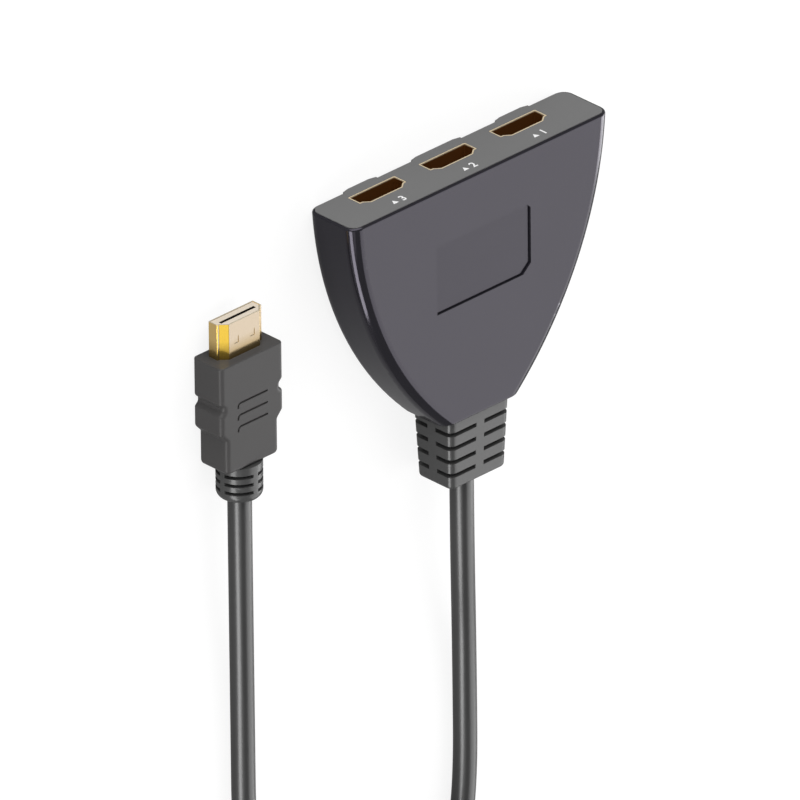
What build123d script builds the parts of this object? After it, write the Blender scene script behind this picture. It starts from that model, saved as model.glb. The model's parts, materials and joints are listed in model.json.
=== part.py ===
from build123d import *
import math
import os

# Three-way HDMI switch box with a captive output lead.
# The box lies flat on its back. X runs along the row of ports, Y from the lead
# towards the ports, Z from the back towards the front face.
# All lengths are in millimetres and all angles in degrees.

# Housing, outside
housing_width = 81.5
foot_width = 24.3
housing_length = 61.7
housing_thickness = 15.1
side_lean = 3.6
long_edge_radius = 3.0
port_edge_radius = 0.65
foot_edge_radius = 0.8
wall = 1.8
inner_edge_radius = 1.2
fit_gap = 0.06
overrun = 1.0

# Ridges on the back, one towards each end of the port row and one in the middle
ridge_height = 0.5
ridge_pitch = 24.0
outer_ridge_width = 6.6
middle_ridge_width = 11.7
ridge_slope_width = 1.9
ridge_slope_rise = 0.45
ridge_length = 36.0
ridge_end_radius = 2.5

# Back cover: seam, locating lip, hooks and rests
seam_height = 0.85
seam_line_height = 0.16
seam_line_depth = 0.3
lip_height = 2.0
lip_thickness = 1.2
lip_gap = 0.1
hook_width = 5.0
hook_height = 3.4
hook_reach = 0.6
hook_barb_height = 1.8
hook_gap = 0.15
hook_place_shares = (0.22, 0.62)
rest_width = 10.0
rest_depth = 6.0

# Label recess in the front face
recess_width = 29.7
recess_height = 17.4
recess_depth = 0.5
recess_top_gap = 14.0
recess_shift = 0.2
recess_low_cut_width = 2.5
recess_low_cut_height = 2.2
recess_high_cut = 1.0

# Port plate
plate_thickness = 1.6
plate_inset = 0.7
plate_gap = 0.2
window_gap = 0.05

# Ports: receptacle opening, shell and place
port_pitch = 22.25
port_row_shift = -0.7
port_opening_width = 14.0
port_opening_height = 4.55
port_wall_height = 3.35
port_step_width = 0.65
port_narrow_width = 9.6
port_corner_radius = 0.25
port_metal_thickness = 0.3
port_back_gap = 2.6
port_shell_length = 10.8
tongue_recess = 4.6
tongue_root = 7.6
tongue_width = 11.2
tongue_thickness = 0.7
port_leg_width = 1.2
port_leg_tip = 0.4
port_leg_gap = 0.1
port_leg_place_shares = (0.3, 0.78)

# Contacts of ports and plug
contact_pitch = 1.0
contact_width = 0.32
contact_thickness = 0.12
contact_long_row_count = 10
contact_short_row_count = 9
contact_front_tail = 0.7
contact_back_tail = 1.5
contact_tip_gap = 0.3

# Circuit board
board_thickness = 1.2
board_gap = 0.6
board_port_gap = 0.25
board_plate_gap = 0.4
wire_room = 4.8
boss_diameter = 5.0
boss_x = 26.0
boss_port_distance = 21.0
lower_boss_x = 14.0
lower_boss_end_distance = 4.0
screw_diameter = 2.0
screw_head_diameter = 3.8
screw_head_height = 1.3
screw_head_radius = 0.4
screw_grip = 3.0
screw_gap = 0.05
screw_tip_gap = 0.5
screw_slot_width = 0.5
screw_slot_depth = 0.6

# Parts on the board
switch_chip_side = 10.0
switch_chip_height = 1.1
switch_chip_gap = 1.2
switch_chip_lead_count = 12
lead_pitch = 0.7
lead_width = 0.3
lead_reach = 1.0
lead_height = 0.35
control_chip_length = 5.0
control_chip_width = 4.0
control_chip_height = 1.5
control_chip_x = 15.5
control_chip_lead_count = 4
wide_lead_pitch = 1.27
regulator_length = 3.0
regulator_width = 1.6
regulator_height = 1.1
regulator_lead_count = 2
regulator_x = -15.0
diode_length = 2.7
diode_width = 1.6
diode_height = 1.1
diode_gap = 4.8
chip_part_length = 1.6
chip_part_width = 0.8
capacitor_height = 0.8
resistor_height = 0.45
chip_row_pitch = 2.4
chip_row_count = 5
resistor_gap = 7.6
capacitor_gap = 1.2

# Cable
cable_diameter = 5.6
cable_height = 7.96
core_inner_length = 7.0
ferrule_length = 4.0
ferrule_thickness = 0.5
ferrule_lug_width = 3.0
ferrule_lug_gap = 0.2
wire_diameter = 0.9
wire_count = 9
wire_circle_share = 0.6
wire_pad_pitch = 1.5
wire_pad_overlap = 3.0

# Strain relief
relief_length = 18.0
relief_top_width = 19.2
relief_top_height = 12.8
relief_end_width = 17.7
relief_end_height = 11.4
relief_corner_radius = 1.85
relief_end_radius = 0.9
relief_slot_count = 4
relief_slot_pitch = 3.6
relief_slot_height = 1.1
relief_slot_depth = 1.3
relief_first_slot = 3.45
relief_bridge = 2.5
neck_width = 13.0
neck_height = 8.0
neck_radius = 1.5
flange_width = 17.0
flange_height = 10.4
flange_thickness = 2.0
flange_radius = 2.0
flange_gap = 0.1

# Free lead: route of its two straight-lying stretches, chosen by hand
lead_points = (
    (0.0, -39.85, 7.96),
    (0.0, -58.0, 7.96),
    (5.46, -92.0, 2.8),
    (5.46, -130.0, 2.8),
    (-1.0, -148.0, 3.7),
    (-1.0, -160.0, 3.7),
)
tail_points = (
    (-56.0, -160.0, 9.9),
    (-56.0, -144.0, 9.9),
    (-64.84, -119.0, 2.8),
    (-64.84, -78.0, 2.8),
    (-67.4, -40.0, 5.4),
    (-67.4, -20.8, 5.4),
)
run_share = 0.45
coil_step_share = 0.1
coil_near_turns = 3

# Tie round the coil
tie_thickness = 0.8
tie_width = 7.0
tie_play = 0.1
tie_side_play = 0.3
tie_corner_radius = 1.6
tie_flap_length = 7.5

# Plug: moulded body
plug_x = -67.4
plug_top_y = 16.4
plug_width = 19.6
plug_thickness = 9.3
plug_length = 27.9
plug_collar_length = 9.3
plug_notch_length = 3.0
plug_notch_depth = 1.0
plug_middle_length = 4.9
plug_shoulder_length = 1.9
plug_lower_width = 16.2
plug_lower_corner_radius = 1.3
plug_lip_radius = 0.6
plug_shoulder_radius = 0.9
plug_edge_radius = 1.2
plug_top_edge_radius = 0.3
grip_groove_count = 3
grip_groove_pitch = 2.98
grip_groove_first = 10.5
grip_groove_width = 0.55
grip_groove_depth = 0.4
grip_groove_half_length = 4.5
grip_groove_turn_radius = 0.9
grip_groove_leg = 0.2

# Plug: boot round the cable
boot_diameter = 10.8
boot_length = 9.3
boot_end_radius = 1.9
boot_slot_count = 3
boot_slot_first = 2.3
boot_slot_pitch = 2.07
boot_slot_height = 0.85
boot_slot_depth = 1.2
boot_bridge = 1.4

# Plug: shell, insulator and inner mould
plug_shell_width = 13.9
plug_shell_height = 4.45
plug_shell_wall_height = 2.9
plug_shell_step_width = 0.5
plug_shell_narrow_width = 9.6
plug_shell_corner_radius = 0.22
plug_shell_inner_radius = 0.1
plug_metal_thickness = 0.3
plug_shell_reach = 8.9
plug_shell_root = 7.0
plug_window_width = 1.4
plug_window_height = 1.7
plug_window_depth = 0.12
plug_window_place = 2.5
plug_window_lift = 3.4
plug_mouth_recess = 0.12
plug_slot_width = 10.9
plug_slot_height = 0.85
plug_slot_depth = 6.0
plug_core_width = 15.6
plug_core_height = 7.0
plug_core_length = 17.0
plug_core_radius = 1.0
plug_core_cover = 1.5

# Places worked out from the sizes
overall_length = housing_length + relief_length
port_face_y = overall_length / 2
foot_y = port_face_y - housing_length
relief_end_y = -overall_length / 2
back_face_z = ridge_height
front_face_z = back_face_z + housing_thickness
seam_z = back_face_z + seam_height
inner_back_z = back_face_z + wall
inner_front_z = front_face_z - wall
ledge_y = port_face_y - plate_thickness
port_shell_end_y = port_face_y - port_shell_length
resistor_y = port_shell_end_y - resistor_gap
switch_chip_y = resistor_y - chip_part_width / 2 - switch_chip_gap - lead_reach - switch_chip_side / 2
port_base_z = back_face_z + port_back_gap + port_metal_thickness
port_top_z = port_base_z + port_opening_height
port_mid_z = (port_base_z + port_top_z) / 2
port_shell_top_z = port_top_z + port_metal_thickness
board_back_z = port_shell_top_z + board_port_gap
board_front_z = board_back_z + board_thickness
board_top_y = ledge_y - board_plate_gap
flange_y = foot_y + wall + flange_gap
core_end_y = flange_y + flange_thickness + core_inner_length
board_end_y = core_end_y + wire_room
lower_boss_y = board_end_y + lower_boss_end_distance
boss_y = port_face_y - boss_port_distance
port_centres = [port_row_shift + (1 - place) * port_pitch for place in range(3)]
boss_places = [(side * boss_x, boss_y) for side in (-1, 1)]
boss_places += [(side * lower_boss_x, lower_boss_y) for side in (-1, 1)]
coil_right = Vector(*lead_points[-1])
coil_left = Vector(*tail_points[0])
coil_radius = (coil_right.X - coil_left.X) / 2
coil_centre_x = coil_right.X - coil_radius
coil_centre_y = coil_right.Y - cable_diameter
coil_low_z = coil_right.Z
coil_high_z = coil_left.Z
plug_axis_z = boot_diameter / 2
plug_low_z = plug_axis_z - plug_thickness / 2
plug_high_z = plug_axis_z + plug_thickness / 2
plug_end_y = plug_top_y - plug_length
boot_end_y = plug_end_y - boot_length
plug_mouth_y = plug_top_y + plug_shell_reach
plug_shell_root_y = plug_top_y - plug_shell_root
plug_core_top_y = plug_top_y - plug_core_cover
plug_core_end_y = plug_core_top_y - plug_core_length

# Side arcs of the plan outline: they leave the port end at the lean and meet the foot
side_inset = (housing_width - foot_width) / 2
chord_angle = math.degrees(math.atan2(side_inset, housing_length))
chord_length = math.hypot(side_inset, housing_length)
side_radius = chord_length / (2 * math.sin(math.radians(chord_angle - side_lean)))
side_centre_x = housing_width / 2 - side_radius * math.cos(math.radians(side_lean))
side_centre_y = port_face_y + side_radius * math.sin(math.radians(side_lean))


def side_x(y, inset=0):
    """Half-width of the plan outline at a place along Y, drawn in by an inset."""
    return side_centre_x + math.sqrt((side_radius - inset) ** 2 - (y - side_centre_y) ** 2)


def side_angle(y, inset=0):
    """Angle by which the side wall's outward normal turns from +X towards -Y."""
    return math.degrees(math.asin((side_centre_y - y) / (side_radius - inset)))


def plan_outline(inset, top_y, low_y):
    """Face with the housing's plan outline, drawn in by an inset."""
    middle_y = (top_y + low_y) / 2
    top_x = side_x(top_y, inset)
    middle_x = side_x(middle_y, inset)
    low_x = side_x(low_y, inset)
    edges = [
        Line((-top_x, top_y), (top_x, top_y)),
        ThreePointArc((top_x, top_y), (middle_x, middle_y), (low_x, low_y)),
        Line((low_x, low_y), (-low_x, low_y)),
        ThreePointArc((-low_x, low_y), (-middle_x, middle_y), (-top_x, top_y)),
    ]
    return Face(Wire(edges))


def raised(face, low_z, high_z):
    """A flat face lifted to a height and extruded up to another."""
    return Pos(0, 0, low_z) * extrude(face, high_z - low_z, dir=(0, 0, 1))


def block(low, high):
    """Box between two corners."""
    size = [b - a for a, b in zip(low, high)]
    middle = [(a + b) / 2 for a, b in zip(low, high)]
    return Pos(*middle) * Box(*size)


def upright_block(width, height, radius, centre_x, centre_z, low_y, high_y):
    """Block with rounded edges along Y."""
    face = Face(Plane.XZ.location * Wire(RectangleRounded(width, height, radius).edges()))
    return Pos(centre_x, high_y, centre_z) * extrude(face, high_y - low_y, dir=(0, -1, 0))


def round_bar(diameter, centre_x, centre_z, low_y, high_y):
    """Cylinder along Y."""
    middle = (low_y + high_y) / 2
    bar = Cylinder(diameter / 2, high_y - low_y)
    return Pos(centre_x, middle, centre_z) * Rot(90, 0, 0) * bar


def connector_face(wide, tall, wall_height, step, narrow, radius, grow=0):
    """HDMI outline in X and Z: wide side low, step and slant towards the narrow side."""
    slant_run = wide / 2 - step - narrow / 2
    slant_rise = tall - wall_height
    slant_length = math.hypot(slant_run, slant_rise)
    corner_share = (slant_length - slant_run) / slant_rise
    wide_x = wide / 2 + grow
    step_x = wide / 2 - step + corner_share * grow
    narrow_x = narrow / 2 + corner_share * grow
    wall_z = wall_height + grow
    half = [(narrow_x, tall + grow), (step_x, wall_z), (wide_x, wall_z), (wide_x, -grow)]
    mirrored = [(-x, z) for x, z in reversed(half)]
    outline = [Vector(x, 0, z) for x, z in half + mirrored]
    face = Face(Wire.make_polygon(outline, close=True))
    return face.fillet_2d(radius, face.vertices())


def connector_bar(face, centre_x, base_z, low_y, high_y):
    """Bar along Y with an HDMI outline."""
    return Pos(centre_x, high_y, base_z) * extrude(face, high_y - low_y, dir=(0, -1, 0))


def port_bar(centre_x, low_y, high_y, grow=0):
    """Bar along Y with a port's outline, grown outwards."""
    face = connector_face(
        port_opening_width, port_opening_height, port_wall_height, port_step_width, port_narrow_width,
        port_corner_radius, grow
    )
    return connector_bar(face, centre_x, port_base_z, low_y, high_y)


def housing_block():
    """The closed outer form of both covers and the port plate, without the ridges."""
    body = raised(plan_outline(0, port_face_y, foot_y), back_face_z, front_face_z)
    body = fillet(body.edges().filter_by(GeomType.CIRCLE), long_edge_radius)
    port_loop = body.faces().sort_by(Axis.Y)[-1].edges()
    body = fillet(port_loop, port_edge_radius)
    foot_loop = body.faces().sort_by(Axis.Y)[0].edges()
    return fillet(foot_loop, foot_edge_radius)


def back_ridges():
    """The three raised pads on the back, flush with the port face."""
    top_z = back_face_z + plate_inset
    places = ((-ridge_pitch, outer_ridge_width), (0, middle_ridge_width), (ridge_pitch, outer_ridge_width))
    ridges = []
    for centre_x, width in places:
        half = width / 2 + ridge_slope_width
        low = (centre_x - half, port_face_y - ridge_length, 0)
        ridge = block(low, (centre_x + half, port_face_y, top_z))
        ends = ridge.edges().filter_by(Axis.Z).sort_by(Axis.Y)[:2]
        ridge = fillet(ends, ridge_end_radius)
        foot = ridge.faces().sort_by(Axis.Z)[0]
        slopes = foot.edges().sort_by(Axis.Y)[:-1]
        ridges.append(chamfer(slopes, ridge_slope_width, ridge_slope_rise, reference=foot))
    return ridges


def housing_cavity(low_z):
    """The space inside the covers, open towards the port face and downwards."""
    cavity = raised(plan_outline(wall, port_face_y + overrun, foot_y + wall), low_z, inner_front_z)
    rim = cavity.faces().sort_by(Axis.Z)[-1].edges().filter_by(GeomType.CIRCLE)
    return fillet(rim, inner_edge_radius)


def plate_block(gap, low_y, high_y):
    """Rounded block of the port plate's outline, or of its seat with a gap."""
    width = housing_width - 2 * (plate_inset - gap)
    height = housing_thickness - 2 * (plate_inset - gap)
    radius = long_edge_radius - plate_inset + gap
    return upright_block(width, height, radius, 0, (back_face_z + front_face_z) / 2, low_y, high_y)


def label_recess():
    """Shallow field in the front face with two cut corners on its right."""
    left_x = recess_shift - recess_width / 2
    right_x = recess_shift + recess_width / 2
    top_y = port_face_y - recess_top_gap
    low_y = top_y - recess_height
    outline = [
        (left_x, top_y),
        (right_x - recess_high_cut, top_y),
        (right_x, top_y - recess_high_cut),
        (right_x, low_y + recess_low_cut_height),
        (right_x - recess_low_cut_width, low_y),
        (left_x, low_y),
    ]
    face = Face(Wire.make_polygon([Vector(x, y, 0) for x, y in outline], close=True))
    return raised(face, front_face_z - recess_depth, front_face_z + overrun)


def seam_line():
    """Fine groove round the outside of the tub where the two covers meet."""
    hidden = long_edge_radius - math.sqrt(long_edge_radius ** 2 - (long_edge_radius - seam_height) ** 2)
    inside = plan_outline(hidden + seam_line_depth, port_face_y + overrun, foot_y + seam_line_depth)
    low_z = seam_z - overrun
    high_z = seam_z + seam_line_height
    outside = block((-housing_width, foot_y - overrun, low_z), (housing_width, port_face_y + overrun, high_z))
    return outside - raised(inside, low_z - overrun, high_z + overrun)


def neck_slot(gap):
    """The way through the foot wall that the strain relief's neck is dropped into."""
    top = upright_block(
        neck_width + 2 * gap, neck_height + 2 * gap, neck_radius, 0, cable_height, foot_y - overrun,
        foot_y + wall + overrun
    )
    half = neck_width / 2 + gap
    way_in = block((-half, foot_y - overrun, seam_z), (half, foot_y + wall + overrun, cable_height))
    return top + way_in


def hook_frame(side, share, inset):
    """Place on a side wall, with local X pointing out of the wall."""
    y = ledge_y - share * (ledge_y - foot_y)
    x = side_x(y, inset)
    turn = side_angle(y, inset)
    if side > 0:
        return Pos(x, y, 0) * Rot(0, 0, -turn)
    return Pos(-x, y, 0) * Rot(0, 0, 180 + turn)


def hook_barb(gap):
    """Wedge that a hook pushes into the side wall, in the hook's own frame."""
    top_z = inner_back_z + lip_height + hook_height
    root_x = -lip_gap - lip_thickness
    tip_x = hook_reach - lip_gap + gap
    half = hook_width / 2 + gap
    low_z = top_z - hook_barb_height - gap
    outline = [
        (root_x, low_z),
        (-lip_gap, low_z),
        (tip_x, low_z + hook_reach),
        (tip_x, low_z + 2 * hook_reach + gap),
        (-lip_gap, top_z + gap),
        (root_x, top_z + gap),
    ]
    face = Face(Wire.make_polygon([Vector(x, 0, z) for x, z in outline], close=True))
    return Pos(0, half, 0) * extrude(face, 2 * half, dir=(0, -1, 0))


def front_cover():
    """Deep tub: front face, side walls and foot wall, with the board's bosses."""
    cover = housing_block() - housing_cavity(-overrun)
    cover -= block((-housing_width, relief_end_y, -overrun), (housing_width, port_face_y + overrun, seam_z))
    cover -= plate_block(plate_gap, ledge_y, port_face_y + overrun)
    cover -= label_recess()
    cover -= seam_line()
    cover -= neck_slot(0)
    for side in (-1, 1):
        for share in hook_place_shares:
            cover -= hook_frame(side, share, wall) * hook_barb(hook_gap)
    for x, y in boss_places:
        middle_z = (board_front_z + inner_front_z + wall / 2) / 2
        height = inner_front_z + wall / 2 - board_front_z
        cover += Pos(x, y, middle_z) * Cylinder(boss_diameter / 2, height)
    for x, y in boss_places:
        bore = Cylinder(screw_diameter / 2 + screw_gap, 2 * screw_grip)
        cover -= Pos(x, y, board_front_z) * bore
    return cover


def lip_ring():
    """Lip of the back cover that centres it in the tub."""
    low_z = inner_back_z
    high_z = inner_back_z + lip_height
    outside = wall + lip_gap
    inside = outside + lip_thickness
    top_y = ledge_y - lip_gap
    low_y = foot_y + wall + lip_gap
    ring = raised(plan_outline(outside, top_y, low_y), low_z, high_z)
    room = plan_outline(inside, top_y + overrun, low_y + lip_thickness)
    ring -= raised(room, low_z - overrun, high_z + overrun)
    half = flange_width / 2 + flange_gap
    ring -= block((-half, low_y - overrun, low_z), (half, low_y + flange_thickness + wall, high_z + overrun))
    return ring


def back_hook(side, share):
    """Spring hook of the back cover with its barb."""
    low_z = inner_back_z
    top_z = inner_back_z + lip_height + hook_height
    half = hook_width / 2
    stem = block((-lip_gap - lip_thickness, -half, low_z), (-lip_gap, half, top_z))
    barb = hook_barb(0) & block((-lip_gap - lip_thickness, -half, low_z), (wall, half, top_z))
    return hook_frame(side, share, wall) * (stem + barb)


def back_cover():
    """Lid with the ridges, the locating lip, four hooks and the port rests."""
    lid = housing_block() & block(
        (-housing_width, relief_end_y, -overrun), (housing_width, port_face_y + overrun, seam_z)
    )
    for ridge in back_ridges():
        lid += ridge
    inner_face = plan_outline(wall + lip_gap, ledge_y - lip_gap, foot_y + wall + lip_gap)
    lid += raised(inner_face, seam_z, inner_back_z)
    lid -= block((-housing_width, ledge_y, -overrun), (housing_width, port_face_y + overrun, seam_z))
    lid += lip_ring()
    tab_half = neck_width / 2 - fit_gap
    neck_low_z = cable_height - neck_height / 2
    inner_y = foot_y + wall + lip_gap
    lid += block((-tab_half, foot_y + foot_edge_radius, seam_z), (tab_half, inner_y, neck_low_z))
    for side in (-1, 1):
        for share in hook_place_shares:
            lid += back_hook(side, share)
    rest_y = ledge_y - lip_thickness
    for x in port_centres:
        low = (x - rest_width / 2, rest_y - rest_depth, inner_back_z)
        lid += block(low, (x + rest_width / 2, rest_y, port_base_z - port_metal_thickness))
    return lid


def end_band():
    """The port end of the back below the seam, with the ends of the ridges."""
    band = housing_block()
    for ridge in back_ridges():
        band += ridge
    return band & block((-housing_width, ledge_y, -overrun), (housing_width, port_face_y + overrun, seam_z))


def port_plate():
    """Plate that closes the port end down to the back, with a window for each port."""
    plate = plate_block(0, ledge_y, port_face_y) + end_band()
    for x in port_centres:
        plate -= port_bar(x, ledge_y - overrun, port_face_y + overrun, port_metal_thickness + window_gap)
    return plate


def port_leg_places():
    """Distances along Y of the shells' solder legs."""
    return [port_face_y - share * port_shell_length for share in port_leg_place_shares]


def port_shell(x):
    """Metal shell of one port with four solder legs."""
    end_y = port_shell_end_y
    shell = port_bar(x, end_y, port_face_y, port_metal_thickness)
    shell -= port_bar(x, end_y - overrun, port_face_y + overrun)
    root_z = port_base_z + port_wall_height / 2
    tip_z = board_front_z + port_leg_tip
    for y in port_leg_places():
        for side in (-1, 1):
            near = x + side * port_opening_width / 2
            far = x + side * (port_opening_width / 2 + port_metal_thickness)
            low = (min(near, far), y - port_leg_width / 2, root_z)
            shell += block(low, (max(near, far), y + port_leg_width / 2, tip_z))
    return shell


def contact_strip(centre_x, outline):
    """One contact: an outline in Y and Z, as wide as a contact along X."""
    face = Face(Wire.make_polygon([Vector(0, y, z) for y, z in outline], close=True))
    return Pos(centre_x - contact_width / 2, 0, 0) * extrude(face, contact_width, dir=(1, 0, 0))


def row_places(count):
    """Places of a row of contacts about its middle."""
    return [(place - (count - 1) / 2) * contact_pitch for place in range(count)]


def port_contacts(x):
    """The nineteen contacts of one port, ten above the tongue and nine below."""
    tip_y = port_face_y - tongue_recess - contact_tip_gap
    end_y = port_shell_end_y
    upper_z = port_mid_z + tongue_thickness / 2
    lower_z = port_mid_z - tongue_thickness / 2
    strips = []
    for place in row_places(contact_long_row_count):
        tail_y = end_y - contact_front_tail
        outline = [
            (tip_y, upper_z - contact_thickness),
            (tail_y, upper_z - contact_thickness),
            (tail_y, board_back_z),
            (tail_y + contact_thickness, board_back_z),
            (tail_y + contact_thickness, upper_z),
            (tip_y, upper_z),
        ]
        strips.append(contact_strip(x + place, outline))
    for place in row_places(contact_short_row_count):
        tail_y = end_y - contact_back_tail
        outline = [
            (tip_y, lower_z),
            (tail_y, lower_z),
            (tail_y, board_back_z),
            (tail_y + contact_thickness, board_back_z),
            (tail_y + contact_thickness, lower_z + contact_thickness),
            (tip_y, lower_z + contact_thickness),
        ]
        strips.append(contact_strip(x + place, outline))
    return strips


def port_insulator(x):
    """Plastic block at the back of one port with the tongue in its opening."""
    end_y = port_shell_end_y
    root_y = port_face_y - tongue_root
    tip_y = port_face_y - tongue_recess
    body = port_bar(x, end_y, root_y)
    half = tongue_width / 2
    low = (x - half, root_y, port_mid_z - tongue_thickness / 2)
    body += block(low, (x + half, tip_y, port_mid_z + tongue_thickness / 2))
    for strip in port_contacts(x):
        body -= strip
    return body


def circuit_board():
    """Board that carries the ports, cut to the housing's plan."""
    face = plan_outline(wall + board_gap, board_top_y, board_end_y)
    board = raised(face, board_back_z, board_front_z)
    low_z = board_back_z - overrun
    high_z = board_front_z + overrun
    for x in port_centres:
        for y in port_leg_places():
            for side in (-1, 1):
                middle = x + side * (port_opening_width + port_metal_thickness) / 2
                half_x = port_metal_thickness / 2 + port_leg_gap
                half_y = port_leg_width / 2 + port_leg_gap
                board -= block((middle - half_x, y - half_y, low_z), (middle + half_x, y + half_y, high_z))
    for x, y in boss_places:
        hole = Cylinder(screw_diameter / 2 + port_leg_gap, high_z - low_z)
        board -= Pos(x, y, (low_z + high_z) / 2) * hole
    return board


def board_screws():
    """Four small screws that hold the board to the bosses of the tub."""
    screws = []
    tip_z = board_front_z + screw_grip - screw_tip_gap
    for x, y in boss_places:
        head_z = board_back_z - screw_head_height / 2
        head = Cylinder(screw_head_diameter / 2, screw_head_height)
        head = fillet(head.edges().sort_by(Axis.Z)[0], screw_head_radius)
        shank = Cylinder(screw_diameter / 2, tip_z - board_back_z)
        screw = Pos(x, y, head_z) * head + Pos(x, y, (tip_z + board_back_z) / 2) * shank
        half = screw_head_diameter
        slot_z = board_back_z - screw_head_height
        low = (x - half, y - screw_slot_width / 2, slot_z - overrun)
        screws.append(screw - block(low, (x + half, y + screw_slot_width / 2, slot_z + screw_slot_depth)))
    return screws


def leaded_chip(centre_x, centre_y, width, length, height, lead_count, pitch, sides):
    """Chip on the board's back side with flat leads on two or four sides."""
    low_z = board_back_z - height
    body = block(
        (centre_x - width / 2, centre_y - length / 2, low_z),
        (centre_x + width / 2, centre_y + length / 2, board_back_z),
    )
    body = chamfer(body.faces().sort_by(Axis.Z)[0].edges(), lead_height / 2)
    lead_z = board_back_z - lead_height
    for place in range(lead_count):
        along = (place - (lead_count - 1) / 2) * pitch
        half = lead_width / 2
        body += block(
            (centre_x - width / 2 - lead_reach, centre_y + along - half, lead_z),
            (centre_x + width / 2 + lead_reach, centre_y + along + half, board_back_z),
        )
        if sides == 4:
            body += block(
                (centre_x + along - half, centre_y - length / 2 - lead_reach, lead_z),
                (centre_x + along + half, centre_y + length / 2 + lead_reach, board_back_z),
            )
    return body


def switch_chip():
    """The chip that switches between the inputs."""
    side = switch_chip_side
    return leaded_chip(
        0, switch_chip_y, side, side, switch_chip_height, switch_chip_lead_count, lead_pitch, 4
    )


def control_chip():
    """Small controller that watches which input is live."""
    return leaded_chip(
        control_chip_x, switch_chip_y, control_chip_width, control_chip_length, control_chip_height,
        control_chip_lead_count, wide_lead_pitch, 2
    )


def voltage_regulator():
    """Three-legged regulator that feeds the chips."""
    return leaded_chip(
        regulator_x, switch_chip_y, regulator_width, regulator_length, regulator_height,
        regulator_lead_count, wide_lead_pitch, 2
    )


def board_part(x, y, length, width, height):
    """Small two-ended part lying on the board's back side, long along X."""
    low = (x - length / 2, y - width / 2, board_back_z - height)
    return block(low, (x + length / 2, y + width / 2, board_back_z))


def input_diodes():
    """One diode behind each port, which takes power from whichever source is on."""
    y = port_shell_end_y - diode_gap
    return [board_part(x, y, diode_length, diode_width, diode_height) for x in port_centres]


def chip_resistors():
    """A row of chip resistors behind each port."""
    parts = []
    for x in port_centres:
        for place in range(chip_row_count):
            along = (place - (chip_row_count - 1) / 2) * chip_row_pitch
            part = board_part(x + along, resistor_y, chip_part_length, chip_part_width, resistor_height)
            parts.append(part)
    return parts


def chip_capacitors():
    """Chip capacitors in a column on each side of the switch chip."""
    parts = []
    column_x = switch_chip_side / 2 + lead_reach + capacitor_gap + chip_part_length / 2
    for side in (-1, 1):
        for place in range(chip_row_count):
            y = switch_chip_y + (place - (chip_row_count - 1) / 2) * chip_row_pitch
            parts.append(board_part(side * column_x, y, chip_part_length, chip_part_width, capacitor_height))
    return parts


def relief_slots():
    """Slots that wrap the relief's upright edges and leave a bridge in each face."""
    cuts = []
    for row in range(relief_slot_count):
        y = foot_y - relief_first_slot - row * relief_slot_pitch
        share = (foot_y - y) / relief_length
        width = relief_top_width + share * (relief_end_width - relief_top_width)
        height = relief_top_height + share * (relief_end_height - relief_top_height)
        low_y = y - relief_slot_height / 2
        high_y = y + relief_slot_height / 2
        around = block((-width, low_y, cable_height - height), (width, high_y, cable_height + height))
        around -= upright_block(
            width - 2 * relief_slot_depth, height - 2 * relief_slot_depth, relief_corner_radius / 2, 0,
            cable_height, low_y - overrun, high_y + overrun
        )
        half = relief_bridge / 2
        low = (-half, low_y - overrun, cable_height - height)
        around -= block(low, (half, high_y + overrun, cable_height + height))
        low = (-width, low_y - overrun, cable_height - half)
        around -= block(low, (width, high_y + overrun, cable_height + half))
        cuts.append(around)
    return cuts


def strain_relief():
    """Slotted block round the cable at the foot, with a neck and a flange inside."""
    top_wire = RectangleRounded(relief_top_width, relief_top_height, relief_corner_radius)
    end_wire = RectangleRounded(relief_end_width, relief_end_height, relief_corner_radius)
    top_plane = Plane(origin=(0, foot_y, cable_height), x_dir=(1, 0, 0), z_dir=(0, -1, 0))
    end_plane = Plane(origin=(0, relief_end_y, cable_height), x_dir=(1, 0, 0), z_dir=(0, -1, 0))
    relief = loft([top_plane * top_wire, end_plane * end_wire])
    end_loop = relief.faces().sort_by(Axis.Y)[0].edges()
    relief = fillet(end_loop, relief_end_radius)
    for cut in relief_slots():
        relief -= cut
    relief += upright_block(neck_width, neck_height, neck_radius, 0, cable_height, foot_y, flange_y)
    relief += upright_block(
        flange_width, flange_height, flange_radius, 0, cable_height, flange_y, flange_y + flange_thickness
    )
    high_y = flange_y + flange_thickness + overrun
    return relief - round_bar(cable_diameter, 0, cable_height, relief_end_y - overrun, high_y)


def cable_core():
    """The stretch of cable held inside the strain relief and the housing."""
    return round_bar(cable_diameter, 0, cable_height, relief_end_y, core_end_y)


def cable_ferrule():
    """Crimped metal sleeve behind the flange, with a lug that rests on the tub."""
    low_y = flange_y + flange_thickness
    high_y = low_y + ferrule_length
    outside = cable_diameter + 2 * ferrule_thickness
    sleeve = round_bar(outside, 0, cable_height, low_y, high_y)
    half = ferrule_lug_width / 2
    top_z = inner_front_z - ferrule_lug_gap
    sleeve += block((-half, low_y, cable_height), (half, high_y, top_z))
    return sleeve - round_bar(cable_diameter, 0, cable_height, low_y - overrun, high_y + overrun)


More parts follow.
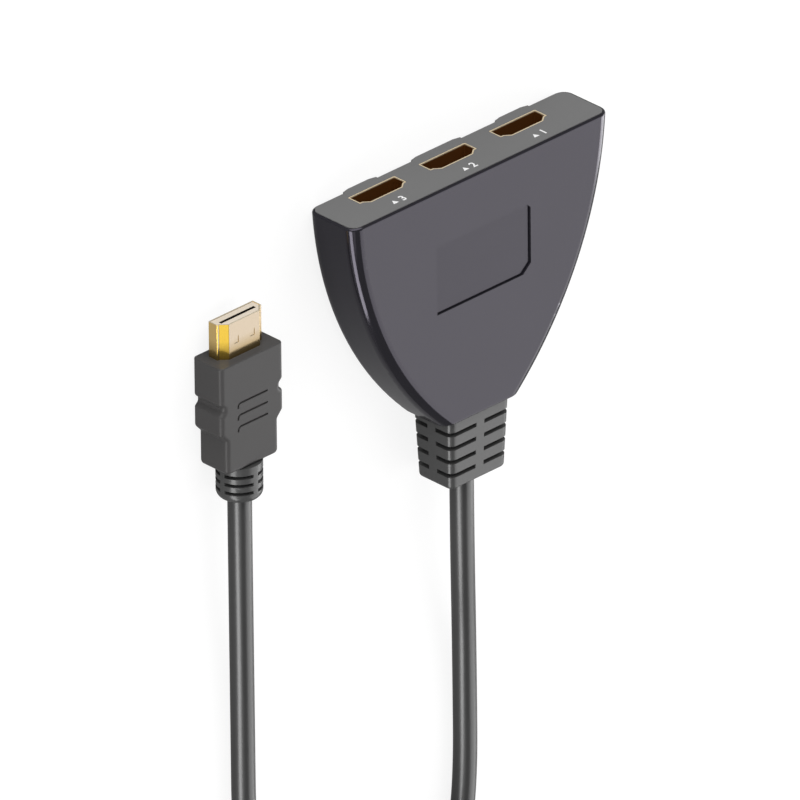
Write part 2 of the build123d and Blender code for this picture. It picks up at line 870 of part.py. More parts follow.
def cable_wires():
    """Cores of the cable fanned out from its end to their pads on the board."""
    wires = []
    for place in range(wire_count):
        turn = math.radians(place * 360 / wire_count)
        circle = wire_circle_share * (cable_diameter - wire_diameter) / 2
        start = (circle * math.sin(turn), core_end_y, cable_height + circle * math.cos(turn))
        pad_x = wire_order(place) * wire_pad_pitch
        pad_z = board_back_z - wire_diameter / 2
        pad_y = board_end_y
        end = (pad_x, pad_y + wire_pad_overlap, pad_z)
        out = (start[0], core_end_y + wire_diameter, start[2])
        into = (pad_x, pad_y - wire_diameter, pad_z)
        path = Polyline(start, out, into, end)
        section = Plane(origin=start, z_dir=(0, 1, 0)) * Circle(wire_diameter / 2)
        wires.append(sweep(section, path=path, transition=Transition.ROUND))
    return wires


def wire_order(place):
    """Pad of each wire, counted from the middle, so that the wires fan out without crossing."""
    turns = [math.sin(math.radians(other * 360 / wire_count)) for other in range(wire_count)]
    ranks = sorted(range(wire_count), key=lambda other: turns[other])
    return ranks.index(place) - (wire_count - 1) / 2


def route_radii(points):
    """Radius of each corner of a route: a fixed share of the shorter run beside it."""
    radii = []
    vectors = [Vector(*point) for point in points]
    for before, here, after in zip(vectors, vectors[1:], vectors[2:]):
        turn = (here - before).get_angle(after - here)
        run = min((here - before).length, (after - here).length)
        radii.append(run_share * run / math.tan(math.radians(turn / 2)))
    return radii


def cable_tube(points, name):
    """Round tube along straight runs joined by tangent arcs."""
    radii = route_radii(points)
    path = FilletPolyline(*points, radius=radii)
    start = Vector(*points[0])
    direction = Vector(*points[1]) - start
    section = Plane(origin=start, z_dir=direction) * Circle(cable_diameter / 2)
    tube = sweep(section, path=path)
    area = math.pi * cable_diameter ** 2 / 4
    print(name, "radii", [round(radius, 1) for radius in radii])
    print(name, "length", round(path.length, 1), "volume share", round(tube.volume / (area * path.length), 4))
    return tube


def coil_path():
    """One and a half turns: a low half turn, a climbing half turn and a high half turn."""
    right_x = coil_centre_x + coil_radius
    left_x = coil_centre_x - coil_radius
    middle_z = (coil_low_z + coil_high_z) / 2
    climb_radius = math.hypot(coil_radius, (coil_high_z - coil_low_z) / 2)
    low_right = (right_x, coil_centre_y, coil_low_z)
    low_left = (left_x, coil_centre_y, coil_low_z)
    high_right = (right_x, coil_centre_y, coil_high_z)
    high_left = (left_x, coil_centre_y, coil_high_z)
    near_y = coil_centre_y - coil_radius
    return [
        Line((right_x, coil_right.Y, coil_low_z), low_right),
        ThreePointArc(low_right, (coil_centre_x, near_y, coil_low_z), low_left),
        ThreePointArc(low_left, (coil_centre_x, coil_centre_y + climb_radius, middle_z), high_right),
        ThreePointArc(high_right, (coil_centre_x, near_y, coil_high_z), high_left),
        Line(high_left, (left_x, coil_left.Y, coil_high_z)),
    ]


def print_coil_gap(edges):
    """Least gap of the coil's tube to itself, measured on points along it."""
    samples = []
    along = 0
    step = cable_diameter * coil_step_share
    for edge in edges:
        count = max(2, round(edge.length / step))
        for place in range(count):
            samples.append((along + edge.length * place / count, edge @ (place / count)))
        along += edge.length
    least = min(
        (first - second).length
        for here, first in samples
        for there, second in samples
        if there - here > coil_near_turns * cable_diameter
    )
    print("cable_coil length", round(along, 1), "least self gap", round(least - cable_diameter, 2))


def cable_coil():
    """The put-away middle of the lead, one unbroken tube."""
    edges = coil_path()
    print_coil_gap(edges)
    section = Plane(origin=edges[0] @ 0, z_dir=edges[0] % 0) * Circle(cable_diameter / 2)
    return sweep(section, path=Wire(edges))


def coil_tie():
    """Strap round the two strands at the coil's far side, with its end laid over."""
    strand_y = coil_centre_y - coil_radius
    inner_low = coil_low_z - cable_diameter / 2 - tie_play
    inner_high = coil_high_z + cable_diameter / 2 + tie_play
    inner_width = cable_diameter + 2 * tie_side_play
    inner_height = inner_high - inner_low
    low_x = coil_centre_x - tie_width / 2
    plane = Plane(origin=(low_x, strand_y, (inner_low + inner_high) / 2), x_dir=(0, 1, 0), z_dir=(1, 0, 0))
    outside = RectangleRounded(
        inner_width + 2 * tie_thickness, inner_height + 2 * tie_thickness, tie_corner_radius + tie_thickness
    )
    inside = RectangleRounded(inner_width, inner_height, tie_corner_radius)
    strap = extrude(plane * (outside - inside), tie_width)
    face_y = strand_y - inner_width / 2 - tie_thickness
    middle_z = (inner_low + inner_high) / 2
    low = (low_x, face_y - tie_thickness, middle_z - tie_flap_length / 2)
    flap = block(low, (low_x + tie_width, face_y, middle_z + tie_flap_length / 2))
    outer_edges = flap.faces().sort_by(Axis.Y)[0].edges().filter_by(Axis.X)
    return strap + fillet(outer_edges, tie_thickness / 2)


def plug_outline():
    """Front view of the plug's moulded body, with its notches and shoulders."""
    half = plug_width / 2
    lower_half = plug_lower_width / 2
    notch_top = plug_top_y - plug_collar_length
    notch_low = notch_top - plug_notch_length
    shoulder_top = notch_low - plug_middle_length
    shoulder_low = shoulder_top - plug_shoulder_length
    lip_share = plug_notch_depth / plug_notch_length
    right = [
        (half, plug_top_y),
        (half, notch_top),
        (half - plug_notch_depth, notch_top - lip_share * plug_notch_length),
        (half - plug_notch_depth, notch_low + lip_share * plug_notch_length),
        (half, notch_low),
        (half, shoulder_top),
        (lower_half, shoulder_low),
        (lower_half, plug_end_y),
    ]
    left = [(-x, y) for x, y in reversed(right)]
    points = [Vector(plug_x + x, y, 0) for x, y in right + left]
    face = Face(Wire.make_polygon(points, close=True))
    low_corners = face.vertices().group_by(Axis.Y)[0]
    face = face.fillet_2d(plug_lower_corner_radius, low_corners)
    shoulders = [v for v in face.vertices() if shoulder_low - fit_gap < v.Y < shoulder_top + fit_gap]
    face = face.fillet_2d(plug_shoulder_radius, shoulders)
    notches = [v for v in face.vertices() if notch_low - fit_gap < v.Y < notch_top + fit_gap]
    return face.fillet_2d(plug_lip_radius, notches)


def grip_groove(y):
    """One hook-shaped grip groove in the front of the plug."""
    half = grip_groove_width / 2
    right_x = plug_x + grip_groove_half_length
    left_x = plug_x - grip_groove_half_length
    turn = grip_groove_turn_radius
    low_y = y - turn - grip_groove_leg
    low_z = plug_high_z - grip_groove_depth
    high_z = plug_high_z + overrun
    middle_z = (low_z + high_z) / 2
    groove = block((left_x + turn, y - half, low_z), (right_x, y + half, high_z))
    groove += block((left_x - half, low_y, low_z), (left_x + half, y - turn, high_z))
    for x, end_y in ((right_x, y), (left_x, low_y)):
        groove += Pos(x, end_y, middle_z) * Cylinder(half, high_z - low_z)
    corner = Pos(left_x + turn, y - turn, middle_z)
    ring = Cylinder(turn + half, high_z - low_z) - Cylinder(turn - half, high_z - low_z)
    quarter = block((left_x - turn, y - turn, low_z - overrun), (left_x + turn, y + turn, high_z + overrun))
    return groove + (corner * ring & quarter)


def plug_core_block():
    """Block of the inner mould."""
    return upright_block(
        plug_core_width, plug_core_height, plug_core_radius, plug_x, plug_axis_z, plug_core_end_y,
        plug_core_top_y
    )


def plug_bar(low_y, high_y, grow=0):
    """Bar along Y with the plug shell's outline, grown outwards."""
    face = connector_face(
        plug_shell_width, plug_shell_height, plug_shell_wall_height, plug_shell_step_width,
        plug_shell_narrow_width, plug_shell_corner_radius if grow == 0 else plug_shell_inner_radius, grow
    )
    return connector_bar(face, plug_x, plug_axis_z - plug_shell_height / 2, low_y, high_y)


def plug_overmould():
    """Moulded body of the plug with side notches, shoulders and grip grooves."""
    body = raised(plug_outline(), plug_low_z, plug_high_z)
    loops = []
    for face in (body.faces().sort_by(Axis.Z)[0], body.faces().sort_by(Axis.Z)[-1]):
        loops += [edge for edge in face.edges() if edge.center().Y < plug_top_y - fit_gap]
    body = fillet(loops, plug_edge_radius)
    body = fillet(body.faces().sort_by(Axis.Y)[-1].edges(), plug_top_edge_radius)
    for row in range(grip_groove_count):
        body -= grip_groove(plug_top_y - grip_groove_first - row * grip_groove_pitch)
    body -= plug_core_block()
    body -= plug_bar(plug_core_top_y - overrun, plug_top_y + overrun)
    body -= round_bar(cable_diameter, plug_x, plug_axis_z, plug_end_y - overrun, plug_core_end_y + overrun)
    return body


def plug_boot():
    """Flexible round boot below the plug with three rows of slots."""
    boot = round_bar(boot_diameter, plug_x, plug_axis_z, boot_end_y, plug_end_y)
    end_loop = boot.faces().sort_by(Axis.Y)[0].edges()
    boot = fillet(end_loop, boot_end_radius)
    half = boot_bridge / 2
    reach = boot_diameter
    for row in range(boot_slot_count):
        y = plug_end_y - boot_slot_first - row * boot_slot_pitch
        low_y = y - boot_slot_height / 2
        high_y = y + boot_slot_height / 2
        ring = round_bar(boot_diameter + overrun, plug_x, plug_axis_z, low_y, high_y)
        inner = boot_diameter - 2 * boot_slot_depth
        ring -= round_bar(inner, plug_x, plug_axis_z, low_y - overrun, high_y + overrun)
        low = (plug_x - half, low_y, plug_axis_z - reach)
        ring -= block(low, (plug_x + half, high_y, plug_axis_z + reach))
        low = (plug_x - reach, low_y, plug_axis_z - half)
        ring -= block(low, (plug_x + reach, high_y, plug_axis_z + half))
        boot -= ring
    return boot - round_bar(cable_diameter, plug_x, plug_axis_z, boot_end_y - overrun, plug_end_y + overrun)


def plug_cable_end():
    """The stretch of cable held inside the boot and the plug."""
    return round_bar(cable_diameter, plug_x, plug_axis_z, boot_end_y, plug_core_end_y)


def plug_shell():
    """Gold-plated shell of the plug with its latch windows pressed in."""
    shell = plug_bar(plug_shell_root_y, plug_mouth_y)
    shell -= plug_bar(plug_shell_root_y - overrun, plug_mouth_y + overrun, -plug_metal_thickness)
    low_y = plug_top_y + plug_window_lift
    front_z = plug_axis_z + plug_shell_height / 2
    back_z = plug_axis_z - plug_shell_height / 2
    for side in (-1, 1):
        x = plug_x + side * plug_window_place
        low_x = x - plug_window_width / 2
        high_x = x + plug_window_width / 2
        high_y = low_y + plug_window_height
        shell -= block((low_x, low_y, front_z - plug_window_depth), (high_x, high_y, front_z + overrun))
        shell -= block((low_x, low_y, back_z - overrun), (high_x, high_y, back_z + plug_window_depth))
    return shell


def plug_contacts():
    """The nineteen contacts in the walls of the plug's slot."""
    top_y = plug_mouth_y - plug_mouth_recess - contact_tip_gap
    low_y = plug_mouth_y - plug_slot_depth
    upper_z = plug_axis_z + plug_slot_height / 2
    lower_z = plug_axis_z - plug_slot_height / 2
    strips = []
    rows = (
        (contact_long_row_count, upper_z),
        (contact_short_row_count, lower_z - contact_thickness),
    )
    for count, low_z in rows:
        for place in row_places(count):
            x = plug_x + place
            low = (x - contact_width / 2, low_y, low_z)
            strips.append(block(low, (x + contact_width / 2, top_y, low_z + contact_thickness)))
    return strips


def plug_insulator():
    """Pale plastic filling of the plug's mouth, with the slot for the tongue."""
    top_y = plug_mouth_y - plug_mouth_recess
    body = plug_bar(plug_shell_root_y, top_y, -plug_metal_thickness)
    half = plug_slot_width / 2
    low = (plug_x - half, plug_mouth_y - plug_slot_depth, plug_axis_z - plug_slot_height / 2)
    body -= block(low, (plug_x + half, plug_mouth_y + overrun, plug_axis_z + plug_slot_height / 2))
    for strip in plug_contacts():
        body -= strip
    return body


def plug_core():
    """Inner mould that grips the root of the shell and the end of the cable."""
    return plug_core_block() - plug_bar(plug_shell_root_y, plug_core_top_y + overrun)


def group(shapes):
    """Separate solids kept together as one node."""
    solids = [solid for shape in shapes for solid in shape.solids()]
    return Compound(children=solids)


def all_pieces():
    """Every node of the part by name."""
    pieces = {
        "front_cover": front_cover(),
        "back_cover": back_cover(),
        "port_plate": port_plate(),
        "circuit_board": circuit_board(),
        "board_screws": group(board_screws()),
        "switch_chip": switch_chip(),
        "control_chip": control_chip(),
        "voltage_regulator": voltage_regulator(),
        "input_diodes": group(input_diodes()),
        "chip_resistors": group(chip_resistors()),
        "chip_capacitors": group(chip_capacitors()),
        "strain_relief": strain_relief(),
        "cable_core": cable_core(),
        "cable_ferrule": cable_ferrule(),
        "cable_wires": group(cable_wires()),
        "cable_lead": cable_tube(lead_points, "cable_lead"),
        "cable_coil": cable_coil(),
        "cable_tail": cable_tube(tail_points, "cable_tail"),
        "coil_tie": coil_tie(),
        "plug_boot": plug_boot(),
        "plug_overmould": plug_overmould(),
        "plug_core": plug_core(),
        "plug_cable_end": plug_cable_end(),
        "plug_shell": plug_shell(),
        "plug_insulator": plug_insulator(),
        "plug_contacts": group(plug_contacts()),
    }
    for number, x in enumerate(port_centres, start=1):
        pieces[f"port_shell_{number}"] = port_shell(x)
        pieces[f"port_insulator_{number}"] = port_insulator(x)
        pieces[f"port_contacts_{number}"] = group(port_contacts(x))
    return pieces


os.makedirs("parts", exist_ok=True)
for node_name, shape in all_pieces().items():
    export_step(shape, f"parts/{node_name}.step")
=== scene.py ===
"""Looks of a three-way HDMI switch box that lies on a pale floor, with its captive cable and plug.

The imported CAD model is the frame. Everything is in metres.
"""
import json
import math

import bmesh
import bpy
from mathutils import Matrix, Vector


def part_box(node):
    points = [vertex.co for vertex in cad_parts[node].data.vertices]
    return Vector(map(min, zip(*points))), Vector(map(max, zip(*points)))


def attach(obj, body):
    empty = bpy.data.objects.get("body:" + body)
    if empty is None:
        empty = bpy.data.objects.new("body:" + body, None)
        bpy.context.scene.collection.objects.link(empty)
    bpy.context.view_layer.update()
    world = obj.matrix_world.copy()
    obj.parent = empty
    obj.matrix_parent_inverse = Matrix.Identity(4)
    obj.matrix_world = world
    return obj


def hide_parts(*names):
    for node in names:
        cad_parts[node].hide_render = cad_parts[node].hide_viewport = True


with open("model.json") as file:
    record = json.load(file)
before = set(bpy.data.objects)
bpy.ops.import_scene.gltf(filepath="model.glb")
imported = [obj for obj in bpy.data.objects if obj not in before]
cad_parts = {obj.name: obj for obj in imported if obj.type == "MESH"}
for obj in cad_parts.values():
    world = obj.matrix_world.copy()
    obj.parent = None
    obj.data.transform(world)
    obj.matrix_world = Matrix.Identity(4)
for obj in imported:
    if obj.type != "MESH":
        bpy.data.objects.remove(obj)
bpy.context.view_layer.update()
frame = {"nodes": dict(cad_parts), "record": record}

MM = 0.001
BODY = "root"
PORT_NUMBERS = (1, 2, 3)

# View of the photograph: image right, image up and the direction towards the camera
VIEW_RIGHT = Vector((0.71318, -0.00860, 0.70093))
VIEW_UP = Vector((0.34118, 0.87775, -0.33638))
VIEW_BACK = Vector((-0.61235, 0.47904, 0.62893))
PHOTO_SIDE = 800
PIXELS_PER_MM = 4.43
ORIGIN_PIXEL = (435.55, 303.41)
LENS = 1400
SENSOR = 36
HOUSING_DEPTH = 10 * MM
CLIP_DIVISOR = 100

# Free cable; its route is in millimetres, as the CAD model has it
CABLE_DIAMETER = 5.6 * MM
LEAD_POINTS = (
    (0.0, -39.85, 7.96),
    (0.0, -58.0, 7.96),
    (5.46, -92.0, 2.8),
    (5.46, -130.0, 2.8),
    (-1.0, -148.0, 3.7),
    (-1.0, -160.0, 3.7),
)
TAIL_POINTS = (
    (-56.0, -160.0, 9.9),
    (-56.0, -144.0, 9.9),
    (-64.84, -119.0, 2.8),
    (-64.84, -78.0, 2.8),
    (-67.4, -40.0, 5.4),
    (-67.4, -20.8, 5.4),
)
COIL_STEPS_PER_TURN = 16
COIL_HALF_TURNS = 3
SPLINE_ORDER = 3
SPLINE_RESOLUTION = 12
ROUND_RESOLUTION = 10

# Port end, and the print on it, which is as deep in the face as it stands out of it
PORT_FACE_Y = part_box("port_plate")[1][1]
PRINT_CENTRE_Z = 12.0 * MM
PRINT_HEIGHT = 0.01 * MM
NUMERAL_SIZE = 3.0 * MM
STROKE_SWELL = 0.06 * MM
NUMERAL_SHIFT = 1.3 * MM
POINTER_SHIFT = -1.3 * MM
POINTER_RADIUS = 0.95 * MM
POINTER_DROP = 0.15 * MM
POINTER_SIDES = 3

# Floor of the label recess in the front face, as the CAD model has it
RECESS_DEPTH = 0.5 * MM
RECESS_MIDDLE = (0.2 * MM, PORT_FACE_Y - 22.7 * MM)
RECESS_HALF = (14.8 * MM, 8.65 * MM)
RECESS_FLOOR_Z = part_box("front_cover")[1][2] - RECESS_DEPTH
RECESS_FLOOR_REACH = RECESS_DEPTH / 4

# Where a colour changes along Y: painted shade behind the ports' rims and in the plug's mouth, and the
# painted reflection's darkening at the shell's root
RIM_END_Y = PORT_FACE_Y - 0.0875 * MM
RIM_SHADE_Y = PORT_FACE_Y - 0.35 * MM
MOUTH_FACE_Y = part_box("plug_insulator")[1][1]
SLOT_START_Y = MOUTH_FACE_Y - 0.02 * MM
SLOT_SHADE_Y = MOUTH_FACE_Y - 0.08 * MM
ROOT_START_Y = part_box("plug_overmould")[1][1]
ROOT_END_Y = ROOT_START_Y + 4.7 * MM
ROOT_REFLECTION_SHARE = 0.9

# Noise textures: waves per metre, levels of detail, and how far the roughness wanders
MOTTLE_SCALE = 60
GLOSS_SCALE = 220
GLOSS_SPREAD = 0.02
PLATING_SCALE = 150
PLATING_GLOSS_SCALE = 400
PLATING_GLOSS_SPREAD = 0.08
PLATING_BUMP_SCALE = 1500
DETAIL = 3
LOW_DETAIL = 2

# Colours of single faces and of shaded places: the casing's reflection tint, painted reflections on the
# gold's faces, and painted shade in the label recess, the ports and the plug's slot
CASING_REFLECTION = (0.88, 0.81, 1.0)
RECESS_PAINTED_SHADE = (0.004, 0.004, 0.006)
RECESS_DULLNESS = 0.08
GOLD_SIDE_REFLECTION = (0.95, 0.68, 0.27)
GOLD_SLANT_REFLECTION = (0.95, 0.63, 0.08)
GOLD_LIP_REFLECTION = (1.0, 0.88, 0.66)
GOLD_ROOT_REFLECTION = (0.22, 0.14, 0.03)
PORT_PAINTED_SHADE = (0.14, 0.048, 0.01)
SLOT_PAINTED_SHADE = (0.01, 0.008, 0.006)
# The product of two squared parts of the normal is a quarter on a face at 45 degrees
SLANT_GAIN = 4

# Soft boxes: name, direction from the object, width, height and power
LAMP_DISTANCE = 1.1
LAMPS = (
    ("front_box", (0.62, -0.48, 0.63), 1.1, 1.1, 8.0),
    ("edge_box", (-0.63, -0.48, 0.61), 0.3, 0.3, 0.24),
    ("low_box", (-0.79, -0.57, 0.25), 0.9, 0.4, 8.0),
    ("port_box", (-0.25, 0.9, 0.42), 2.2, 1.1, 23.0),
    ("right_box", (0.95, -0.2, 0.35), 0.7, 0.7, 6.5),
)
WORLD_COLOR = (1, 1, 1)
WORLD_STRENGTH = 0.15

# Floor: its glow as the camera sees it, and the share of that glow that reflections show
FLOOR_HALF_SIDE = 1.6
FLOOR_Z = -0.02 * MM
FLOOR_COLOR = (0.2, 0.2, 0.2)
FLOOR_LIFT = 0.83
FLOOR_MIRRORED = 0.21


def image_point(pixel_x, pixel_y, depth):
    """Point in the row frame behind a pixel of the photograph, at a depth towards the camera."""
    right = (pixel_x - ORIGIN_PIXEL[0]) / PIXELS_PER_MM * MM
    up = (ORIGIN_PIXEL[1] - pixel_y) / PIXELS_PER_MM * MM
    return VIEW_RIGHT * right + VIEW_UP * up + VIEW_BACK * depth


def make_camera():
    """Camera with a very long lens, because the photograph shows next to no perspective."""
    data = bpy.data.cameras.new("camera")
    data.lens = LENS
    data.sensor_width = SENSOR
    width = PHOTO_SIDE / PIXELS_PER_MM * MM
    distance = width * LENS / SENSOR
    data.clip_start = distance / CLIP_DIVISOR
    data.clip_end = distance * 2
    camera = bpy.data.objects.new("camera", data)
    bpy.context.scene.collection.objects.link(camera)
    middle = image_point(PHOTO_SIDE / 2, PHOTO_SIDE / 2, HOUSING_DEPTH)
    turn = Matrix((VIEW_RIGHT, VIEW_UP, VIEW_BACK)).transposed()
    camera.matrix_world = Matrix.Translation(middle + VIEW_BACK * distance) @ turn.to_4x4()
    bpy.context.scene.camera = camera


def nurbs_tube(name, points, diameter):
    """Curve along the route's points, with a round section."""
    curve = bpy.data.curves.new(name, "CURVE")
    curve.dimensions = "3D"
    spline = curve.splines.new("NURBS")
    spline.points.add(len(points) - 1)
    for place, point in zip(spline.points, points):
        place.co = (*point, 1)
    spline.order_u = SPLINE_ORDER
    spline.use_endpoint_u = True
    spline.resolution_u = SPLINE_RESOLUTION
    curve.bevel_depth = diameter / 2
    curve.bevel_resolution = ROUND_RESOLUTION
    tube = bpy.data.objects.new(name, curve)
    bpy.context.scene.collection.objects.link(tube)
    return tube


def coil_points():
    """Points round the coil: a low half turn, a climbing half turn and a high half turn."""
    start = Vector(LEAD_POINTS[-1])
    end = Vector(TAIL_POINTS[0])
    radius = (start.x - end.x) / 2
    centre = Vector((start.x - radius, start.y - CABLE_DIAMETER / MM, 0))
    steps = COIL_STEPS_PER_TURN * COIL_HALF_TURNS // 2
    # The control points stand outside the circle by as much as a spline of order 3 cuts inside
    outside = radius / math.cos(math.pi / COIL_STEPS_PER_TURN) ** 2
    half = steps / COIL_HALF_TURNS
    points = []
    for step in range(steps):
        turn = (step + 0.5) * 2 * math.pi / COIL_STEPS_PER_TURN
        climb = min(max((step + 0.5) / half - 1, 0), 1)
        height = start.z + (end.z - start.z) * (1 - math.cos(climb * math.pi)) / 2
        points.append((centre.x + outside * math.cos(turn), centre.y - outside * math.sin(turn), height))
    return points


def cable_tube():
    """The free cable from the strain relief to the plug's boot, in one piece."""
    points = [*LEAD_POINTS, *coil_points(), *TAIL_POINTS]
    return nurbs_tube("cable", [Vector(point) * MM for point in points], CABLE_DIAMETER)


def principled(name):
    """New material with its node tree and its Principled shader."""
    material = bpy.data.materials.new(name)
    material.use_nodes = True
    tree = material.node_tree
    return material, tree, tree.nodes["Principled BSDF"]


def parts_of(material):
    """Node tree and shader of a material, and the socket that gives its base colour."""
    tree = material.node_tree
    shader = tree.nodes["Principled BSDF"]
    return tree, shader, shader.inputs["Base Color"].links[0].from_socket


def math_node(tree, operation, *values):
    """Result of a sum, product or comparison of sockets and numbers."""
    node = tree.nodes.new("ShaderNodeMath")
    node.operation = operation
    for place, value in enumerate(values):
        if isinstance(value, bpy.types.NodeSocket):
            tree.links.new(value, node.inputs[place])
        else:
            node.inputs[place].default_value = value
    return node.outputs[0]


def split_vector(tree, source, output):
    """X, Y and Z of a vector that a new node of a kind gives."""
    split = tree.nodes.new("ShaderNodeSeparateXYZ")
    tree.links.new(tree.nodes.new(source).outputs[output], split.inputs[0])
    return split.outputs


def surface_point(tree):
    """X, Y and Z of the surface point in the row frame."""
    return split_vector(tree, "ShaderNodeTexCoord", "Object")


def surface_normal(tree):
    """X, Y and Z of the surface's normal in the row frame."""
    return split_vector(tree, "ShaderNodeNewGeometry", "Normal")


def add_bump(tree, shader, height, distance):
    """Bump from a height socket into the shader's normal."""
    bump = tree.nodes.new("ShaderNodeBump")
    bump.inputs["Distance"].default_value = distance
    tree.links.new(height, bump.inputs["Height"])
    tree.links.new(bump.outputs["Normal"], shader.inputs["Normal"])


def noise(tree, scale, detail=DETAIL):
    """Noise over the object's own coordinates."""
    place = tree.nodes.new("ShaderNodeTexCoord")
    texture = tree.nodes.new("ShaderNodeTexNoise")
    texture.inputs["Scale"].default_value = scale
    texture.inputs["Detail"].default_value = detail
    tree.links.new(place.outputs["Object"], texture.inputs["Vector"])
    return texture.outputs["Fac"]


def spread(tree, factor, low, high, start=0, end=1):
    """A factor from start to end, stretched from low to high."""
    ranger = tree.nodes.new("ShaderNodeMapRange")
    ranger.inputs["From Min"].default_value = start
    ranger.inputs["From Max"].default_value = end
    ranger.inputs["To Min"].default_value = low
    ranger.inputs["To Max"].default_value = high
    tree.links.new(factor, ranger.inputs["Value"])
    return ranger.outputs["Result"]


def color_sockets(sockets):
    """The colour sockets of a mix node, which has some of every kind."""
    return [place for place in sockets if place.type == "RGBA"]


def mix_colors(tree, factor, *colors):
    """Colour that goes from the first to the second with a factor."""
    mix = tree.nodes.new("ShaderNodeMix")
    mix.data_type = "RGBA"
    tree.links.new(factor, mix.inputs["Factor"])
    for socket, color in zip(color_sockets(mix.inputs), colors):
        if isinstance(color, bpy.types.NodeSocket):
            tree.links.new(color, socket)
        else:
            socket.default_value = (*color, 1)
    return color_sockets(mix.outputs)[0]


def grey(value):
    """Neutral colour."""
    return (value, value, value)


def moulded_plastic(name, low, high, roughness, grain, depth, specular=0.5):
    """Moulded plastic: slight mottling, uneven gloss and a fine spark-eroded grain."""
    material, tree, shader = principled(name)
    mottled = mix_colors(tree, noise(tree, MOTTLE_SCALE), low, high)
    tree.links.new(mottled, shader.inputs["Base Color"])
    uneven = noise(tree, GLOSS_SCALE, LOW_DETAIL)
    gloss = spread(tree, uneven, roughness - GLOSS_SPREAD, roughness + GLOSS_SPREAD)
    tree.links.new(gloss, shader.inputs["Roughness"])
    shader.inputs["Specular IOR Level"].default_value = specular
    add_bump(tree, shader, noise(tree, grain, LOW_DETAIL), depth)
    return material


def plated_metal(name, low, high, roughness, depth, metallic=1):
    """Plated sheet metal with slight mottling, uneven gloss and a faint unevenness."""
    material, tree, shader = principled(name)
    shader.inputs["Metallic"].default_value = metallic
    mottled = mix_colors(tree, noise(tree, PLATING_SCALE), low, high)
    tree.links.new(mottled, shader.inputs["Base Color"])
    uneven = noise(tree, PLATING_GLOSS_SCALE)
    gloss = spread(tree, uneven, roughness, roughness + PLATING_GLOSS_SPREAD)
    tree.links.new(gloss, shader.inputs["Roughness"])
    add_bump(tree, shader, noise(tree, PLATING_BUMP_SCALE), depth)
    return material


def recess_field(tree):
    """1 on the floor of the label recess and 0 elsewhere."""
    x, y, z = surface_point(tree)
    inside_x = math_node(tree, "COMPARE", x, RECESS_MIDDLE[0], RECESS_HALF[0])
    inside_y = math_node(tree, "COMPARE", y, RECESS_MIDDLE[1], RECESS_HALF[1])
    on_floor = math_node(tree, "COMPARE", z, RECESS_FLOOR_Z, RECESS_FLOOR_REACH)
    inside = math_node(tree, "MULTIPLY", inside_x, inside_y)
    return math_node(tree, "MULTIPLY", inside, on_floor)


def casing():
    """Near-black satin plastic of the covers; the floor of the label recess is duller, and painted
    darker as shade.
    """
    material = moulded_plastic(
        "casing", low=(0.013, 0.0125, 0.015), high=(0.016, 0.0155, 0.019),
        roughness=0.11, grain=5000, depth=0.002 * MM, specular=0.4
    )
    tree, shader, plain = parts_of(material)
    shader.inputs["Specular Tint"].default_value = (*CASING_REFLECTION, 1)
    field = recess_field(tree)
    gloss = shader.inputs["Roughness"].links[0].from_socket
    duller = math_node(tree, "MULTIPLY_ADD", field, RECESS_DULLNESS, gloss)
    tree.links.new(duller, shader.inputs["Roughness"])
    # Painted shade: the floor of the label recess gets a darker colour
    tree.links.new(mix_colors(tree, field, plain, RECESS_PAINTED_SHADE), shader.inputs["Base Color"])
    return material


def port_plate():
    """Dark grey plastic of the plate at the port end; its grey, far lighter than the casing's, is partly
    painted light for the lit port face.
    """
    # Partly painted light: the plate's base grey stands in for light falling on the port face
    return moulded_plastic(
        "port_plate", low=grey(0.14), high=grey(0.149), roughness=0.35, grain=5000, depth=0.003 * MM
    )


def relief():
    """Satin flexible moulding of the strain relief and the plug's boot."""
    return moulded_plastic(
        "relief", low=grey(0.05), high=grey(0.057),
        roughness=0.26, grain=3500, depth=0.002 * MM, specular=0.42
    )


def jacket():
    """Satin jacket of the cable."""
    return moulded_plastic(
        "jacket", low=grey(0.028), high=grey(0.032),
        roughness=0.33, grain=2500, depth=0.001 * MM, specular=0.72
    )


def tie():
    """Matte strap round the coil."""
    return moulded_plastic(
        "tie", low=grey(0.012), high=grey(0.02), roughness=0.8, grain=2500, depth=0.06 * MM
    )


def plug_mould():
    """Satin moulding of the plug's grip."""
    return moulded_plastic(
        "plug_mould", low=(0.058, 0.0565, 0.0565), high=(0.065, 0.063, 0.063),
        roughness=0.3, grain=3500, depth=0.002 * MM, specular=0.11
    )


def inner_mould():
    """Pale moulding inside the plug's grip."""
    return moulded_plastic(
        "inner_mould", low=(0.45, 0.43, 0.38), high=(0.5, 0.48, 0.44),
        roughness=0.5, grain=2500, depth=0.003 * MM
    )


